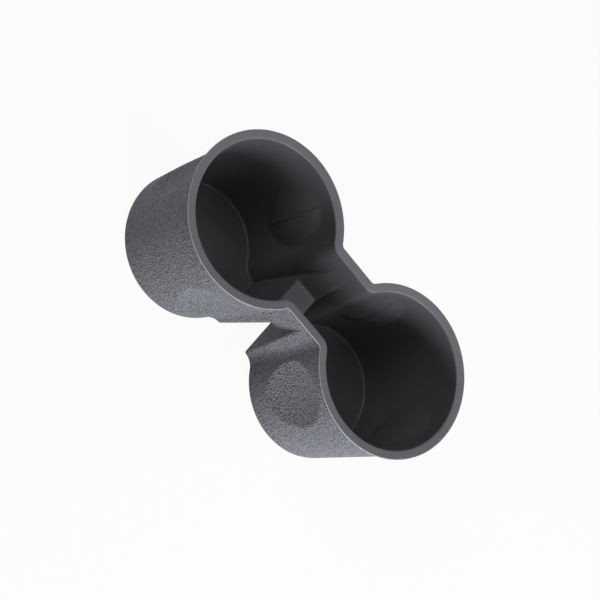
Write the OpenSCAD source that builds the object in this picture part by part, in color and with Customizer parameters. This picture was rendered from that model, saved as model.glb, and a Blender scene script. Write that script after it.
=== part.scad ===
// Twin cup holder expander: one moulding with two tapered cups, a neck that joins them and a slot
// between them. It stands on its two floors. The origin is under the middle of the neck.

/* [Cups] */
// Distance between the two cup axes
cup_spacing = 100; // [94:1:120]
// Outside diameter of a cup at the rim
rim_d = 88; // [80:1:92]
// Outside diameter of a cup at the foot
foot_d = 76; // [70:0.2:82]
// Height from foot to rim
height = 76.4; // [70:0.2:100]
// How far the rim's lip stands out from the wall
lip_out = 2; // [1:0.1:4]
// Height of the rim's lip
lip_h = 1; // [0.8:0.1:4]
// Thickness of the wall under the lip
wall = 2.6; // [2:0.1:4]
// Thickness of the wall at the foot
foot_wall = 5; // [2.5:0.1:7]
// Thickness of the cup floors
floor_t = 2.6; // [1.5:0.1:5]

/* [Neck] */
// Outside width of the neck at the rim
neck_w = 45.8; // [40:0.2:52]

/* [Slot between the cups] */
// Width of the slot at the foot
slot_foot_w = 20; // [14:0.2:22]
// Width of the slot at the top of its side grooves
slot_top_w = 4.6; // [4:0.2:8]
// Depth of the slot's roof below the rim
roof_depth = 38.4; // [30:0.2:45]
// Length of the flat roof across the neck
roof_len = 27.4; // [20:0.2:30]
// Depth of the side grooves' tops below the rim
groove_depth = 10.5; // [8:0.5:20]
// Thickness of the slot's side walls
slot_wall = 2.4; // [1.5:0.1:4]
// Thickness of the saddle over the slot
saddle_t = 3; // [2:0.1:5]

/* [Side dimples] */
// Number of dimples around each cup
dimple_count = 3; // [3:1:4]
// Depth of a dimple's middle below the rim
dimple_drop = 34; // [32:0.5:40]
// Height of a dimple's outline
dimple_h = 50; // [40:1:54]
// Depth of a dimple at its middle
dimple_deep = 5.2; // [3:0.1:6]
// Thickness of the wall behind a dimple
dimple_wall = 2.4; // [2:0.1:5]

/* [Hidden] */
$fn = 72;

// How much the wall's outside steps in for each millimetre below the rim
draft = (rim_d / 2 - lip_out - foot_d / 2) / height;
draft_angle = atan(draft);
// Amount by which a cutter passes the face it opens
over = 1;

// How far a face lies inside the rim's outline at a height: none for the lip
function step_in(z, skin) =
    skin == "lip" ? 0
    : skin == "outer" ? lip_out + draft * (height - z)
    : lip_out + wall + (draft + (foot_wall - wall) / height) * (height - z);
function cup_r(z, skin = "outer") = rim_d / 2 - step_in(z, skin);
function neck_y(z, skin = "outer") = neck_w / 2 - step_in(z, skin);

roof_z = height - roof_depth;
groove_z = height - groove_depth;
groove_top_r = slot_top_w / 2;
arch_steps = 8;
arch_z = groove_z - groove_top_r;
// Half of the slot's width at a height
function slot_x(z) = slot_foot_w / 2 - (slot_foot_w / 2 - groove_top_r) * z / arch_z;

// Slope of the groove's back, which is flush with the neck's side at the groove's top
groove_back = (neck_y(groove_z) - roof_len / 2) / (groove_z - roof_z);

// A dimple is a shallow cap of a ball that stands square to the cup's wall
dimple_z = height - dimple_drop;
dimple_r = cup_r(dimple_z);
ball_r = (pow(dimple_h / 2, 2) / dimple_deep + dimple_deep) / 2;
// Room between a dimple's edge and the cylinder that trims its ball
trim_room = 1.5;
cap_r = dimple_h / 2 + trim_room;

module mirrored(axis) {
    children();
    mirror(axis) children();
}

// One cup as a cone between two heights
module cup_cone(z0, z1, skin) {
    translate([0, 0, z0])
        cylinder(h = z1 - z0, r1 = cup_r(z0, skin), r2 = cup_r(z1, skin));
}

// The neck: a block from one cup axis to the other, with its two sides leaning like the cups
module neck_block(z0, z1, skin) {
    rotate([90, 0, 90])
        translate([0, 0, -cup_spacing / 2])
            linear_extrude(cup_spacing)
                polygon([
                    [-neck_y(z0, skin), z0], [neck_y(z0, skin), z0],
                    [neck_y(z1, skin), z1], [-neck_y(z1, skin), z1]
                ]);
}

// The figure of eight between two heights, on the skin named: lip, outer or inner
module figure_eight(z0, z1, skin) {
    mirrored([1, 0, 0])
        translate([cup_spacing / 2, 0, 0])
            cup_cone(z0, z1, skin);
    neck_block(z0, z1, skin);
}

// The space between the cups: the slot under the saddle and its two side grooves.
// Grown by side, back and top, it is the solid that wraps that space inside the moulding.
module slot_space(side, back, top, low_z) {
    arch_r = groove_top_r + side;
    intersection() {
        rotate([90, 0, 0])
            translate([0, 0, -rim_d / 2])
                linear_extrude(rim_d)
                    polygon(concat(
                        [[-slot_x(low_z) - side, low_z], [slot_x(low_z) + side, low_z]],
                        [for (i = [0:arch_steps])
                            let (a = 180 * i / arch_steps)
                            [arch_r * cos(a), arch_z + arch_r * sin(a)]]
                    ));
        rotate([90, 0, 90])
            translate([0, 0, -cup_spacing / 2])
                linear_extrude(cup_spacing)
                    slot_section(back, top, low_z);
    }
}

// Section across the neck: flat roof in the middle, sloped groove backs at both sides
module slot_section(back, top, low_z) {
    top_z = height + over;
    roof = roof_z + top;
    back_shift = back * sqrt(1 + pow(groove_back, 2));
    function back_y(z) = roof_len / 2 + groove_back * (z - roof_z) - back_shift;
    polygon([
        [-rim_d / 2, low_z], [rim_d / 2, low_z], [rim_d / 2, top_z], [back_y(top_z), top_z],
        [back_y(roof), roof], [-back_y(roof), roof], [-back_y(top_z), top_z], [-rim_d / 2, top_z]
    ]);
}

// Ball caps that press the dimples into a cup, or stand inside it when grown by the wall
module dimples(grow) {
    for (i = [0:dimple_count - 1])
        rotate([0, 0, 360 * i / dimple_count])
            translate([dimple_r, 0, dimple_z])
                rotate([0, 90 + draft_angle, 0])
                    intersection() {
                        translate([0, 0, ball_r - dimple_deep])
                            sphere(r = ball_r + grow);
                        translate([0, 0, -2 * dimple_deep])
                            cylinder(h = 4 * dimple_deep, r = cap_r);
                    }
}

module both_dimples(grow) {
    mirrored([1, 0, 0])
        translate([cup_spacing / 2, 0, 0])
            dimples(grow);
}

// The hollow inside, open at the rim
module cavity() {
    difference() {
        figure_eight(floor_t, height + over, "inner");
        slot_space(slot_wall, wall, saddle_t, 0);
        both_dimples(dimple_wall);
    }
}

module insert() {
    color("dimgray")
        difference() {
            union() {
                // The wall ends halfway up inside the lip
                figure_eight(0, height - lip_h / 2, "outer");
                figure_eight(height - lip_h, height, "lip");
            }
            cavity();
            slot_space(0, 0, 0, -over);
            both_dimples(0);
        }
}

insert();
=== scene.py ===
import math

import bpy
import numpy as np
from bpy.props import FloatProperty, FloatVectorProperty, PointerProperty
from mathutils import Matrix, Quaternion, Vector


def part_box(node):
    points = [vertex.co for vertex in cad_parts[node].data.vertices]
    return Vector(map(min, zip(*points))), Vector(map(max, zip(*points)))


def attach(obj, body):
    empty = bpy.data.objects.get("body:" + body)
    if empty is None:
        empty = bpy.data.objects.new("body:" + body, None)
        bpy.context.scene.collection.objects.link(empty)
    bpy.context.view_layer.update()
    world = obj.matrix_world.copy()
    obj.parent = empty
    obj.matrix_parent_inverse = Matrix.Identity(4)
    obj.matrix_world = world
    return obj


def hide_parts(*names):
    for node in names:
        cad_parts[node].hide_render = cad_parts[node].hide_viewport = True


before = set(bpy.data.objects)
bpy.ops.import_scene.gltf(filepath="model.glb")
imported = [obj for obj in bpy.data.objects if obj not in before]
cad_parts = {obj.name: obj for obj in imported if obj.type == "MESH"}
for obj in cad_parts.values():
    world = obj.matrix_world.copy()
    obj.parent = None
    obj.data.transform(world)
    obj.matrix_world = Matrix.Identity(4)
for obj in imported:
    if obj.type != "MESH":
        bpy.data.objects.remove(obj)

bl_info = {
    "name": "Cup Holder Expander",
    "version": (1, 0, 0),
    "blender": (4, 5, 0),
    "location": "3D View > Sidebar > Cup Insert",
    "description": "Builds a twin cup holder insert moulded from thermoplastic rubber, with its studio",
    "category": "Add Mesh",
}

NODE = "insert"
MM = 0.001
LOW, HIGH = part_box(NODE)
HEIGHT = (HIGH.z - LOW.z) / MM
RIM_D = (HIGH.y - LOW.y) / MM
CUP_SPACING = (HIGH.x - LOW.x) / MM - RIM_D


def linear(hex_colour):
    """Linear RGB of an sRGB colour written as hex."""
    parts = [int(hex_colour[i:i + 2], 16) / 255 for i in (1, 3, 5)]
    return [c / 12.92 if c <= 0.04045 else ((c + 0.055) / 1.055) ** 2.4 for c in parts]


def length(name, description, mm):
    """A length property, with its default given in millimetres."""
    return FloatProperty(
        name=name, description=description, default=mm * MM, min=0.0, unit="LENGTH", precision=5
    )


def colour(name, description, hex_colour):
    """A colour property, with its default given as sRGB hex."""
    return FloatVectorProperty(
        name=name, description=description, subtype="COLOR", min=0.0, max=1.0,
        default=linear(hex_colour),
    )


def factor(name, description, value, top=1.0):
    """A plain number property between nothing and top."""
    return FloatProperty(name=name, description=description, default=value, min=0.0, max=top)


def degrees(name, description, value):
    """An angle property, with its default given in degrees."""
    return FloatProperty(
        name=name, description=description, default=math.radians(value), subtype="ANGLE"
    )


def power(name, description, watts):
    """A lamp's power."""
    return FloatProperty(name=name, description=description, default=watts, min=0.0, unit="POWER")


class InsertSizes(bpy.types.PropertyGroup):
    """Sizes of the moulding. Heights are measured up from the foot and drops down from the rim."""

    height: length("Height", "From the foot to the rim", HEIGHT)
    rim_d: length("Rim diameter", "Outside diameter of a cup at the rim", RIM_D)
    cup_spacing: length("Cup spacing", "Distance between the two cup axes", CUP_SPACING)
    foot_d: length("Foot diameter", "Outside diameter of a cup at the foot", 76.0)
    lip_out: length("Lip width", "How far the rim's lip stands out from the wall", 2.0)
    lip_h: length("Lip height", "Height of the rim's lip", 1.0)
    lip_fill: length("Lip corner", "Radius of the hollow corner under the lip", 0.4)
    wall: length("Wall", "Thickness of the wall under the lip", 2.6)
    foot_wall: length("Foot wall", "Thickness of the wall at the foot", 5.0)
    floor_t: length("Floor", "Thickness of the cup floors", 2.6)
    neck_w: length("Neck width", "Outside width of the neck at the rim", 45.8)
    neck_corner_r: length("Neck corner", "Radius of the hollow corner between neck and cup", 3.0)
    slot_foot_w: length("Slot foot", "Width of the slot at the foot", 20.0)
    slot_top_w: length("Slot top", "Width of the slot at the top of its grooves", 4.6)
    roof_depth: length("Roof drop", "Drop from the rim to the slot's roof", 38.4)
    roof_len: length("Roof length", "Length of the slot's flat roof across the neck", 27.4)
    groove_depth: length("Groove drop", "Drop from the rim to the top of the side grooves", 10.5)
    slot_wall: length("Slot wall", "Thickness of the slot's side walls", 2.4)
    saddle_t: length("Saddle", "Thickness of the saddle over the slot", 3.0)
    dimple_drop: length("Dimple drop", "Drop from the rim to a dimple's middle", 34.0)
    dimple_h: length("Dimple height", "Height of a dimple's outline", 50.0)
    dimple_w: length("Dimple width", "Width of a dimple's outline", 34.4)
    dimple_deep: length("Dimple depth", "Depth of a dimple at its middle", 5.2)
    dimple_wall: length("Dimple wall", "Thickness of the wall behind a dimple", 2.4)
    rim_fall: length("Rim fall", "Drop of the rim's top from its outer edge to its inner edge", 0.6)
    rim_edge: length("Rim edge", "Radius of the rim's inner edge", 0.7)
    lip_edge: length("Lip edge", "Radius of the lip's outer edges", 0.45)
    foot_edge: length("Foot edge", "Radius of the outer edge round each foot", 0.6)
    floor_edge: length("Floor corner", "Radius of the corner round each cup's floor", 1.0)
    slot_edge: length("Slot edge", "Radius of the edges where the slot leaves the outside", 1.4)
    dimple_edge: length("Dimple edge", "Radius of a dimple's outline", 0.25)
    saddle_edge: length("Saddle edge", "Radius of the saddle's two long edges", 1.6)
    saddle_corner: length("Saddle corner", "Radius of the hollow corners round the saddle", 0.9)
    bulge_edge: length("Bulge edge", "Radius of the soft edge round an inner bulge", 0.5)
    ridge_h: length("Ridge height", "Height of the fine ridge down each inner bulge", 0.45)
    ridge_w: length("Ridge width", "Half width of the fine ridge down each inner bulge", 0.6)


class InsertFinish(bpy.types.PropertyGroup):
    """Colours and grain of the rubber."""

    outside: colour("Outside", "Colour of the grained outside", "#6F7177")
    rim: colour("Rim", "Colour of the smooth rim", "#606265")
    # Painted highlight: a light tone along the lip's rounded outer edge, where the rubber shines.
    painted_lip_highlight: colour("Rim line", "Colour of the painted_highlight line round the lip's outer edge", "#C0C2C8")
    inside: colour("Inside", "Colour of the smooth inside", "#4A4B4E")
    grain: length("Grain size", "Distance between the pebbles of the grain", 1.05)
    grain_deep: length("Grain depth", "Depth of the grain", 0.8)
    # Painted shade in the grain's pits and painted light on its tops.
    painted_pit_shade: factor("Mottle", "How much darker the grain's pits and lighter its tops are", 0.5)
    outside_rough: factor("Outside roughness", "Roughness of the grained outside", 0.62)
    inside_rough: factor("Inside roughness", "Roughness of the smooth inside", 0.34)
    shine: factor("Shine", "Strength of the rubber's reflections", 0.16)


class StudioSettings(bpy.types.PropertyGroup):
    """Floor, lamps and camera."""

    floor: colour("Floor", "Colour of the floor", "#CCCCCC")
    key: power("Key light", "Power of the low side lamp", 9.2)
    high: power("High light", "Power of the high side lamp", 3.9)
    fill: power("Fill light", "Power of the lamp on the other side", 2.7)
    front: power("Front light", "Power of the lamp on the camera's side", 1.7)
    world: factor("World", "Strength of the light from all round", 0.05, 10.0)
    azimuth: degrees("Azimuth", "Bearing of the camera from the object, from +X", -119.838)
    elevation: degrees("Elevation", "Height of the camera above the horizon", 56.399)
    roll: degrees("Roll", "Turn of the camera about its own axis", 75.723)
    distance: length("Distance", "From the camera to the point it looks at", 946.37)


def round_and(a, b, r):
    """Inside both a and b, with the edge between them rounded to radius r."""
    corner = np.hypot(np.maximum(a + r, 0), np.maximum(b + r, 0))
    return np.minimum(-r, np.maximum(a, b)) + corner


def round_or(a, b, r):
    """Inside a or b, with the hollow corner between them filled to radius r."""
    corner = np.hypot(np.maximum(r - a, 0), np.maximum(r - b, 0))
    return np.maximum(r, np.minimum(a, b)) - corner


class Moulding:
    """Signed distances in millimetres, below zero in the rubber, for points as an (n, 3) array."""

    FAR = 60.0

    def __init__(self, sizes):
        for name in InsertSizes.__annotations__:
            setattr(self, name, getattr(sizes, name) / MM)
        self.cup_x = self.cup_spacing / 2
        self.rim_r = self.rim_d / 2
        self.corner_y = self.neck_w / 2 + self.neck_corner_r
        reach = self.rim_r + self.neck_corner_r
        self.corner_x = self.cup_x - math.sqrt(reach ** 2 - self.corner_y ** 2)
        self.draft = (self.rim_r - self.lip_out - self.foot_d / 2) / self.height
        self.inner_draft = self.draft + (self.foot_wall - self.wall) / self.height
        self.roof_z = self.height - self.roof_depth
        self.top_r = self.slot_top_w / 2
        self.arch_z = self.height - self.groove_depth - self.top_r
        self.slot_lean = (self.slot_foot_w / 2 - self.top_r) / self.arch_z
        flush_y = self.neck_w / 2 - self.lip_out - self.draft * self.groove_depth
        self.groove_lean = (flush_y - self.roof_len / 2) / (self.roof_depth - self.groove_depth)
        self.dimple_z = self.height - self.dimple_drop
        self.dimple_r = self.rim_r - self.lip_out - self.draft * self.dimple_drop

    def outline(self, x, y):
        """Distance from the rim's outline in plan, for the quarter where x and y are positive."""
        to_x, to_y = x - self.corner_x, y - self.corner_y
        corner = self.neck_corner_r - np.hypot(to_x, to_y)
        cup = np.hypot(x - self.cup_x, y) - self.rim_r
        neck = y - self.neck_w / 2
        beyond = to_x * self.corner_y + to_y * (self.cup_x - self.corner_x) > 0
        return np.where(to_x < 0, neck, np.where(beyond, cup, corner))

    def slot(self, x, y, z, side, back, top):
        """The space between the cups, grown by a side wall, a back wall and a roof."""
        lean = math.cos(math.atan(self.slot_lean))
        flank = (x - self.slot_foot_w / 2 + self.slot_lean * z) * lean - side
        arch = np.hypot(x, z - self.arch_z) - self.top_r - side
        across = np.where(z < self.arch_z, flank, arch)
        lean = math.cos(math.atan(self.groove_lean))
        groove = (self.roof_len / 2 + self.groove_lean * (z - self.roof_z) - y) * lean - back
        roof = z - self.roof_z - top
        return across, groove, roof

    def hollow(self, points, angle, deep, half_w, half_h, wall_r, ridge=0.0):
        """Height of points over a shallow bowl pressed into a cup's wall at an angle."""
        x, y, z = points
        lean = math.atan(self.draft)
        px, py = x - self.cup_x, y
        out = px * math.cos(angle) + py * math.sin(angle) - self.dimple_r
        along = py * math.cos(angle) - px * math.sin(angle)
        rise = z - self.dimple_z
        w = out * math.cos(lean) - rise * math.sin(lean)
        v = rise * math.cos(lean) + out * math.sin(lean)
        bend_u = deep / half_w ** 2 - 1 / (2 * wall_r)
        bend_v = deep / half_h ** 2
        bowl = bend_u * along ** 2 + bend_v * v ** 2 - deep
        if ridge:
            line = np.clip(1 - (along / self.ridge_w) ** 2, 0, None) ** 2
            fade = np.clip((half_h - 4 - v) / 6, 0, 1) * np.clip((v + half_h) / 8, 0, 1)
            bowl = bowl - ridge * line * fade
        slope = np.sqrt(1 + (2 * bend_u * along) ** 2 + (2 * bend_v * v) ** 2)
        reach = np.hypot(along / half_w, v / half_h)
        return np.where(reach < 1.6, (w - bowl) / slope, -self.FAR)

    def cavity(self, x, y, z):
        """The hollow inside, open upwards."""
        inset = self.inner_draft * (self.height - z) + self.lip_out + self.wall
        side = (self.outline(x, y) + inset) * math.cos(math.atan(self.inner_draft))
        space = round_and(side, self.floor_t - z, self.floor_edge)
        across, groove, roof = self.slot(x, y, z, self.slot_wall, self.wall, self.saddle_t)
        saddle = round_and(across, roof, self.saddle_edge)
        cheek = round_and(across, groove, 1.2)
        wrap = round_or(saddle, cheek, self.saddle_corner)
        space = round_and(space, -wrap, self.saddle_corner)
        inner_r = self.dimple_r - self.dimple_wall
        for angle in (0, math.tau / 3):
            deep = self.dimple_deep + self.dimple_wall
            half_w = math.sqrt(deep / self.bend(inner_r))
            bulge = self.hollow(
                (x, y, z), angle, deep, half_w, self.dimple_h / 2 * math.sqrt(deep / self.dimple_deep),
                inner_r, self.ridge_h
            )
            space = round_and(space, bulge, self.bulge_edge)
        return space

    def bend(self, wall_r):
        """Depth over half width squared of a dimple. The wall of another radius is not used."""
        return self.dimple_deep / (self.dimple_w / 2) ** 2

    def outside(self, x, y, z):
        """The moulding with its cups filled in."""
        flat = self.outline(x, y)
        inset = self.draft * (self.height - z) + self.lip_out
        side = (flat + inset) * math.cos(math.atan(self.draft))
        lip = round_and(flat, self.height - self.lip_h - z, self.lip_edge)
        fall = self.rim_fall / (self.lip_out + self.wall)
        top = (z - self.height - fall * flat) * math.cos(math.atan(fall))
        solid = round_and(round_or(side, lip, self.lip_fill), top, self.lip_edge)
        solid = round_and(solid, -z, self.foot_edge)
        for angle in (0, math.tau / 3):
            dimple = self.hollow(
                (x, y, z), angle, self.dimple_deep, self.dimple_w / 2, self.dimple_h / 2, self.dimple_r
            )
            solid = round_and(solid, dimple, self.dimple_edge)
        return solid

    def distance(self, points):
        """Distance from the moulding's surface."""
        x, y, z = abs(points[:, 0]), abs(points[:, 1]), points[:, 2]
        solid = round_and(self.outside(x, y, z), -self.cavity(x, y, z), self.rim_edge)
        across, groove, roof = self.slot(x, y, z, 0, 0, 0)
        space = np.maximum(across, np.minimum(groove, roof))
        return round_and(solid, -space, self.slot_edge)

    def gradient(self, points, step=0.02):
        """Direction and steepness of the distance."""
        parts = []
        for axis in range(3):
            shift = np.zeros(3)
            shift[axis] = step
            ahead, behind = self.distance(points + shift), self.distance(points - shift)
            parts.append((ahead - behind) / (2 * step))
        return np.stack(parts, axis=1)

    def normals(self, points):
        """Directions straight out of the surface."""
        slope = self.gradient(points)
        return slope / np.linalg.norm(slope, axis=1)[:, None]

    def settle(self, points, passes=3, most=1.0):
        """Moves points along the gradient onto the surface."""
        for _ in range(passes):
            slope = self.gradient(points)
            steep = np.maximum((slope ** 2).sum(1), 0.05)
            move = np.clip(self.distance(points) / steep, -most, most)
            points = points - slope * move[:, None]
        return points


def grid_lines(shape, step, fine):
    """Grid lines along each axis. They are closer together in height at the rim's lip.

    No line runs through the slight fall of the rim's top, where it would cut off slivers.
    """
    half_x = shape.cup_x + shape.rim_r + 2 * step
    half_y = shape.rim_r + 2 * step
    lip_from = shape.height - 2 * shape.lip_h - fine / 4
    return (
        np.arange(-half_x, half_x + step, step),
        np.arange(-half_y, half_y + step, step),
        np.concatenate((
            np.arange(lip_from - step, -2 * step, -step)[::-1],
            np.arange(lip_from, shape.height - fine, fine),
            shape.height + fine * np.array([0.5, 1.5]),
        )),
    )


def crossing(shape, starts, ends, halvings=11):
    """Where the surface cuts each line from a start to an end on its other side."""
    within = shape.distance(starts) < 0
    for _ in range(halvings):
        middle = (starts + ends) / 2
        same = ((shape.distance(middle) < 0) == within)[:, None]
        starts, ends = np.where(same, middle, starts), np.where(same, ends, middle)
    return (starts + ends) / 2


def corner_points(middles, planes, offsets, low, high, hold=0.08):
    """In each cell, the point that best fits the surface's planes at its crossings."""
    planes = planes + hold * np.eye(3)
    offsets = offsets + hold * middles
    return np.clip(np.linalg.solve(planes, offsets[..., None])[..., 0], low, high)


def first_mesh(shape, step, fine):
    """A closed mesh of four-sided faces, one point to each grid cell that the surface crosses."""
    grid = np.stack(np.meshgrid(*grid_lines(shape, step, fine), indexing="ij"), axis=-1)
    counts = grid.shape[:3]
    field = shape.distance(grid.reshape(-1, 3)).reshape(counts)
    inside = field < 0
    cells = tuple(n - 1 for n in counts)
    total, hits = np.zeros(cells + (3,)), np.zeros(cells)
    planes, offsets = np.zeros(cells + (3, 3)), np.zeros(cells + (3,))
    crossings = []
    for axis in range(3):
        lower = tuple(slice(0, -1) if i == axis else slice(None) for i in range(3))
        upper = tuple(slice(1, None) if i == axis else slice(None) for i in range(3))
        crosses = inside[lower] != inside[upper]
        point, normal = np.zeros((2,) + crosses.shape + (3,))
        point[crosses] = crossing(shape, grid[lower][crosses], grid[upper][crosses])
        normal[crosses] = shape.normals(point[crosses])
        crossings.append((crosses, inside[lower]))
        b, c = (axis + 1) % 3, (axis + 2) % 3
        for i in (0, 1):
            for j in (0, 1):
                part = [slice(None)] * 3
                part[b] = slice(i, i + cells[b])
                part[c] = slice(j, j + cells[c])
                at, towards = point[tuple(part)], normal[tuple(part)]
                total += at
                hits += crosses[tuple(part)]
                planes += towards[..., :, None] * towards[..., None, :]
                offsets += towards * (towards * at).sum(-1)[..., None]
    used = hits > 0
    number = np.full(cells, -1)
    number[used] = np.arange(used.sum())
    middles = total[used] / hits[used][:, None]
    low, high = grid[:-1, :-1, :-1][used], grid[1:, 1:, 1:][used]
    points = corner_points(middles, planes[used], offsets[used], low, high)
    quads = []
    for axis, (crosses, leaves) in enumerate(crossings):
        b, c = (axis + 1) % 3, (axis + 2) % 3
        where = np.argwhere(crosses)
        corners = []
        for db, dc in ((-1, -1), (0, -1), (0, 0), (-1, 0)):
            at = where.copy()
            at[:, b] += db
            at[:, c] += dc
            corners.append(number[tuple(at.T)])
        quad = np.stack(corners, axis=1)
        out = leaves[tuple(where.T)]
        quad[~out] = quad[~out][:, ::-1]
        quads.append(quad)
    return points, np.concatenate(quads)


def facing(points, normals, faces):
    """How well each triangle faces along the surface's own normals, from -1 to 1."""
    a, b, c = (points[faces[:, i]] for i in range(3))
    across = np.cross(b - a, c - a)
    across /= np.maximum(np.linalg.norm(across, axis=1), 1e-9)[:, None]
    return sum((across * normals[faces[:, i]]).sum(1) for i in range(3)) / 3


def split_quads(shape, points, quads):
    """Two triangles for each four-sided face, cut so that both face along the surface's normals."""
    a, b, c, d = quads.T
    normals = shape.normals(points)
    cuts = []
    for pair in (((a, b, c), (a, c, d)), ((a, b, d), (b, c, d))):
        triangles = [np.stack(corners, axis=1) for corners in pair]
        worse = np.minimum(*(facing(points, normals, part) for part in triangles))
        cuts.append((worse, triangles))
    first = (cuts[0][0] > cuts[1][0])[:, None]
    return np.concatenate([np.where(first, one, other) for one, other in zip(cuts[0][1], cuts[1][1])])


def relax(shape, points, faces, passes):
    """Evens out the mesh along the surface. Round the rim's thin lip only folded triangles move."""
    ends = np.concatenate((faces[:, [0, 1]], faces[:, [1, 2]], faces[:, [2, 0]]))
    low = points[:, 2] < shape.height - 2 * shape.lip_h
    for _ in range(passes):
        share = np.where(low, 0.5, 0.0)[:, None]
        folded = facing(points, shape.normals(points), faces) < 0.3
        share[faces[folded]] = 0.5
        total = np.zeros_like(points)
        count = np.zeros(len(points))
        np.add.at(total, ends[:, 0], points[ends[:, 1]])
        np.add.at(count, ends[:, 0], 1)
        middle = total / count[:, None]
        points = shape.settle(points + share * (middle - points), 1)
    return points


def refine(shape, points, faces, slack, turn, least):
    """Cuts in two every edge that leaves the surface by more than slack or turns too far."""
    pairs = np.sort(np.concatenate((faces[:, [0, 1]], faces[:, [1, 2]], faces[:, [2, 0]])), axis=1)
    edges, back = np.unique(pairs, axis=0, return_inverse=True)
    back = back.reshape(3, -1)
    middle = (points[edges[:, 0]] + points[edges[:, 1]]) / 2
    size = np.linalg.norm(points[edges[:, 0]] - points[edges[:, 1]], axis=1)
    normal = shape.normals(points)
    bend = (normal[edges[:, 0]] * normal[edges[:, 1]]).sum(1)
    off = abs(shape.distance(middle))
    cut = (size > least) & ((off > slack) | (bend < math.cos(turn)))
    new = np.full(len(edges), -1)
    new[cut] = len(points) + np.arange(cut.sum())
    points = np.concatenate((points, shape.settle(middle[cut])))
    mids = new[back].T
    kinds = (mids >= 0).sum(1)
    kept = [faces[kinds == 0]]
    for kind in (1, 2, 3):
        chosen = kinds == kind
        tri, mid = faces[chosen], mids[chosen]
        if kind < 3:
            wanted = mid >= 0 if kind == 1 else mid < 0
            turn_by = np.argmax(wanted, axis=1) + (0 if kind == 1 else 1)
            order = (np.arange(3)[None, :] + turn_by[:, None]) % 3
            tri, mid = np.take_along_axis(tri, order, 1), np.take_along_axis(mid, order, 1)
        a, b, c = tri.T
        ab, bc, ca = mid.T
        if kind == 1:
            parts = ((a, ab, c), (ab, b, c))
        elif kind == 2:
            parts = ((ab, b, bc), (a, ab, bc), (a, bc, c))
        else:
            parts = ((a, ab, ca), (ab, b, bc), (ca, bc, c), (ab, bc, ca))
        kept.extend(np.stack(part, axis=1) for part in parts)
    return points, np.concatenate(kept)


def mould(shape):
    """The whole moulding as points, triangles and normals, finest where it turns."""
    points, quads = first_mesh(shape, 1.35, 0.4)
    points = shape.settle(points)
    faces = split_quads(shape, points, quads)
    points = relax(shape, points, faces, 4)
    for least in (1.0, 0.7, 0.5):
        points, faces = refine(shape, points, faces, 0.05, math.radians(21), least)
    return points, faces, shape.normals(points)


def mesh_object(name, points, faces, normals, masks):
    """A mesh object in metres, with its own normals and one number per point for each mask."""
    mesh = bpy.data.meshes.new(name)
    mesh.from_pydata((points * MM).tolist(), [], faces.tolist())
    mesh.validate()
    for mask, values in masks.items():
        layer = mesh.attributes.new(mask, "FLOAT", "POINT")
        layer.data.foreach_set("value", values.astype(np.float32))
    mesh.shade_smooth()
    mesh.normals_split_custom_set_from_vertices(normals.tolist())
    piece = bpy.data.objects.new(name, mesh)
    bpy.context.scene.collection.objects.link(piece)
    return piece


def node(tree, kind, settings=None, **links):
    """Adds one shader node, with its settings and the values or links of its inputs."""
    made = tree.nodes.new(kind)
    for name, value in (settings or {}).items():
        setattr(made, name, value)
    for name, value in links.items():
        socket = made.inputs[name.replace("_", " ")] if not name.startswith("i") or not name[1:].isdigit() \
            else made.inputs[int(name[1:])]
        if isinstance(value, bpy.types.NodeSocket):
            tree.links.new(value, socket)
        else:
            socket.default_value = value
    return made


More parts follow.
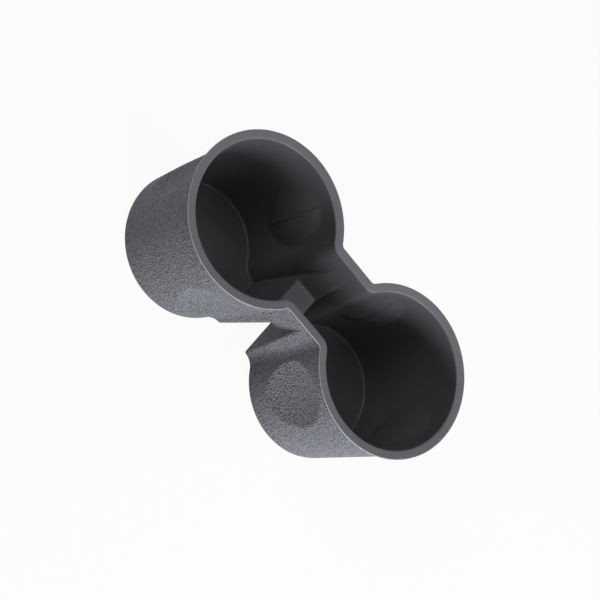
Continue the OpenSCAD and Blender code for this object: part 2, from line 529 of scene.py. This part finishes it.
def moulded_rubber(finish):
    """Thermoplastic rubber (TPE), injection moulded. The mould is grained outside and smooth inside."""
    material = bpy.data.materials.new("tpe_rubber_moulded")
    material.use_nodes = True
    tree = material.node_tree
    tree.nodes.clear()
    place = node(tree, "ShaderNodeTexCoord").outputs["Object"]
    grain = node(tree, "ShaderNodeAttribute", {"attribute_name": "grain"}).outputs["Fac"]
    inner = node(tree, "ShaderNodeAttribute", {"attribute_name": "inner"}).outputs["Fac"]
    # Mask of the painted highlight along the lip's outer edge.
    line = node(tree, "ShaderNodeAttribute", {"attribute_name": "painted_lip_highlight"}).outputs["Fac"]
    # A real mould's grain is about 0.5 mm wide. It is drawn at twice that, so that it shows in the render.
    scale = 1 / finish.grain
    warp = node(tree, "ShaderNodeTexNoise", Vector=place, Scale=scale * 0.6, Detail=1.0).outputs["Color"]
    bent = node(
        tree, "ShaderNodeMix", {"data_type": "VECTOR"}, i0=0.4 * finish.grain, i4=place, i5=warp
    ).outputs[1]
    pebble = node(
        tree, "ShaderNodeTexVoronoi", {"feature": "SMOOTH_F1"}, Vector=bent, Scale=scale, Smoothness=0.4
    ).outputs["Distance"]
    fine = node(tree, "ShaderNodeTexNoise", Vector=place, Scale=scale * 1.2, Detail=2.0).outputs["Fac"]
    relief = node(tree, "ShaderNodeMath", {"operation": "MULTIPLY_ADD"}, i0=pebble, i1=-1.0, i2=fine)
    masked = node(tree, "ShaderNodeMath", {"operation": "MULTIPLY"}, i0=relief.outputs[0], i1=grain)
    bump = node(
        tree, "ShaderNodeBump", Strength=1.0, Distance=finish.grain_deep, Height=masked.outputs[0]
    ).outputs["Normal"]
    # Tone follows the grain's relief: painted shade in its pits, painted light on its tops.
    low = [c * (1 - finish.painted_pit_shade) for c in finish.outside] + [1]
    high = [min(c * (1 + finish.painted_pit_shade), 1) for c in finish.outside] + [1]
    spread = node(
        tree, "ShaderNodeMapRange", Value=relief.outputs[0], From_Min=-0.4, From_Max=0.5
    ).outputs[0]
    tone = node(tree, "ShaderNodeMix", {"data_type": "RGBA"}, i0=spread, i6=low, i7=high).outputs[2]
    # The rim's colour turns to a light tone along the lip's outer edge: a painted highlight.
    rim = node(
        tree, "ShaderNodeMix", {"data_type": "RGBA"}, i0=line, i6=[*finish.rim, 1],
        i7=[*finish.painted_lip_highlight, 1]
    ).outputs[2]
    skin = node(tree, "ShaderNodeMix", {"data_type": "RGBA"}, i0=grain, i6=rim, i7=tone).outputs[2]
    body = node(
        tree, "ShaderNodeMix", {"data_type": "RGBA"}, i0=inner, i6=skin, i7=[*finish.inside, 1]
    ).outputs[2]
    rough = node(
        tree, "ShaderNodeMix", {"data_type": "FLOAT"}, i0=grain, i2=finish.inside_rough,
        i3=finish.outside_rough
    ).outputs[0]
    shader = node(
        tree, "ShaderNodeBsdfPrincipled", Base_Color=body, Roughness=rough, Normal=bump, IOR=1.5,
        Specular_IOR_Level=finish.shine
    )
    node(tree, "ShaderNodeOutputMaterial", Surface=shader.outputs[0])
    return material


class CUPINSERT_OT_moulding(bpy.types.Operator):
    """Mould the insert: two cups, their neck, slot, saddle, dimples and inner bulges in one piece"""

    bl_idname = "cup_insert.moulding"
    bl_label = "Mould the insert"

    def execute(self, context):
        shape = Moulding(context.scene.insert_sizes)
        points, faces, normals = mould(shape)
        x, y, z = abs(points[:, 0]), abs(points[:, 1]), points[:, 2]
        below_rim = shape.height - z
        inner = np.clip(1 - abs(shape.cavity(x, y, z)) / 0.6, 0, 1) * np.clip(below_rim / 0.8 - 0.5, 0, 1)
        grain = np.clip((below_rim - shape.lip_h) / 0.6, 0, 1) * (1 - inner)
        # Painted highlight: the lip's rounded outer edge, strongest where its normals point halfway up.
        on_lip = (shape.outline(x, y) > -1.0) & (below_rim < shape.lip_h)
        line = np.clip(1 - abs(normals[:, 2] - 0.5) / 0.45, 0, 1) * on_lip
        masks = {"grain": grain, "inner": inner, "painted_lip_highlight": line}
        piece = mesh_object("cup_insert", points, faces, normals, masks)
        piece.data.materials.append(moulded_rubber(context.scene.insert_finish))
        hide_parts(NODE)
        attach(piece, "root")
        print("cup_insert triangles", len(faces))
        return {"FINISHED"}


def way(bearing, rise):
    """The direction at a bearing from +X and a rise above the horizon, both in degrees."""
    a, e = math.radians(bearing), math.radians(rise)
    return Vector((math.cos(a) * math.cos(e), math.sin(a) * math.cos(e), math.sin(e)))


def area_lamp(name, power, size, place, aim):
    """A square soft lamp at a place, turned to a point."""
    data = bpy.data.lights.new(name, "AREA")
    data.energy = power
    data.size = size
    lamp = bpy.data.objects.new(name, data)
    lamp.location = place
    lamp.rotation_euler = (aim - place).to_track_quat("-Z", "Y").to_euler()
    bpy.context.scene.collection.objects.link(lamp)
    return lamp


def seen_rays(tree):
    """One for rays that see the background: from the camera, off gloss and through glass."""
    path = node(tree, "ShaderNodeLightPath").outputs
    seen = node(
        tree, "ShaderNodeMath", {"operation": "MAXIMUM"}, i0=path["Is Camera Ray"], i1=path["Is Glossy Ray"]
    )
    return node(
        tree, "ShaderNodeMath", {"operation": "MAXIMUM"}, i0=seen.outputs[0], i1=path["Is Transmission Ray"]
    ).outputs[0]


def floor_material(studio):
    """Matt painted board: it takes the shadow, and shows as white to the camera."""
    material = bpy.data.materials.new("painted_board_matt")
    material.use_nodes = True
    tree = material.node_tree
    tree.nodes.clear()
    share = node(tree, "ShaderNodeMath", {"operation": "MULTIPLY"}, i0=seen_rays(tree), i1=0.94)
    paint = node(tree, "ShaderNodeBsdfDiffuse", Color=[*studio.floor, 1])
    white = node(tree, "ShaderNodeEmission", Color=[1, 1, 1, 1], Strength=1.0)
    both = node(
        tree, "ShaderNodeMixShader", i0=share.outputs[0], i1=paint.outputs[0], i2=white.outputs[0]
    )
    node(tree, "ShaderNodeOutputMaterial", Surface=both.outputs[0])
    return material


class CUPINSERT_OT_studio(bpy.types.Operator):
    """Lay the floor and place the lamps and the camera"""

    bl_idname = "cup_insert.studio"
    bl_label = "Set the studio"

    def execute(self, context):
        studio = context.scene.insert_studio
        middle = Vector((0.00161, 0.00681, HEIGHT / 2 * MM))
        half = 3.0
        mesh = bpy.data.meshes.new("studio_floor")
        corners = [(-half, -half, 0), (half, -half, 0), (half, half, 0), (-half, half, 0)]
        mesh.from_pydata(corners, [], [(0, 1, 2, 3)])
        mesh.materials.append(floor_material(studio))
        board = bpy.data.objects.new("studio_floor", mesh)
        context.scene.collection.objects.link(board)
        area_lamp("key_lamp", studio.key, 0.3, middle + way(-47, 12) * 0.9, middle)
        area_lamp("high_lamp", studio.high, 0.45, middle + way(0, 50) * 0.9, middle)
        area_lamp("fill_lamp", studio.fill, 0.45, middle + way(180, 50) * 0.9, middle)
        area_lamp("front_lamp", studio.front, 0.5, middle + way(-120, 56) * 1.3, middle)
        world = bpy.data.worlds.new("studio_world")
        world.use_nodes = True
        tree = world.node_tree
        tree.nodes.clear()
        strength = node(
            tree, "ShaderNodeMix", {"data_type": "FLOAT"}, i0=seen_rays(tree), i2=studio.world, i3=1.0
        ).outputs[0]
        back = node(tree, "ShaderNodeBackground", Color=[1, 1, 1, 1], Strength=strength)
        node(tree, "ShaderNodeOutputWorld", Surface=back.outputs[0])
        context.scene.world = world
        data = bpy.data.cameras.new("photo_camera")
        data.lens = 112.262
        data.sensor_width = 36
        data.clip_start, data.clip_end = 0.05, 10
        camera = bpy.data.objects.new("photo_camera", data)
        a, e = studio.azimuth, studio.elevation
        away = Vector((math.cos(a) * math.cos(e), math.sin(a) * math.cos(e), math.sin(e)))
        camera.location = middle + away * studio.distance
        camera.rotation_mode = "QUATERNION"
        aimed = (-away).to_track_quat("-Z", "Y")
        camera.rotation_quaternion = aimed @ Quaternion((0, 0, 1), studio.roll)
        context.scene.collection.objects.link(camera)
        context.scene.camera = camera
        context.scene.view_settings.view_transform = "Standard"
        return {"FINISHED"}


class CUPINSERT_PT_panel(bpy.types.Panel):
    """Sizes, finish and studio of the cup holder insert"""

    bl_idname = "CUPINSERT_PT_panel"
    bl_label = "Cup Insert"
    bl_space_type = "VIEW_3D"
    bl_region_type = "UI"
    bl_category = "Cup Insert"

    def draw(self, context):
        scene = context.scene
        for group in (scene.insert_sizes, scene.insert_finish, scene.insert_studio):
            box = self.layout.box()
            for name in type(group).__annotations__:
                box.prop(group, name)
        self.layout.operator(CUPINSERT_OT_moulding.bl_idname)
        self.layout.operator(CUPINSERT_OT_studio.bl_idname)


CLASSES = (
    InsertSizes, InsertFinish, StudioSettings, CUPINSERT_OT_moulding, CUPINSERT_OT_studio,
    CUPINSERT_PT_panel,
)
GROUPS = {"insert_sizes": InsertSizes, "insert_finish": InsertFinish, "insert_studio": StudioSettings}


def register():
    for cls in CLASSES:
        bpy.utils.register_class(cls)
    for name, group in GROUPS.items():
        setattr(bpy.types.Scene, name, PointerProperty(type=group))


def unregister():
    for name in GROUPS:
        delattr(bpy.types.Scene, name)
    for cls in reversed(CLASSES):
        bpy.utils.unregister_class(cls)


def main():
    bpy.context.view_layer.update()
    register()
    bpy.ops.cup_insert.moulding()
    bpy.ops.cup_insert.studio()


if __name__ == "__main__":
    main()
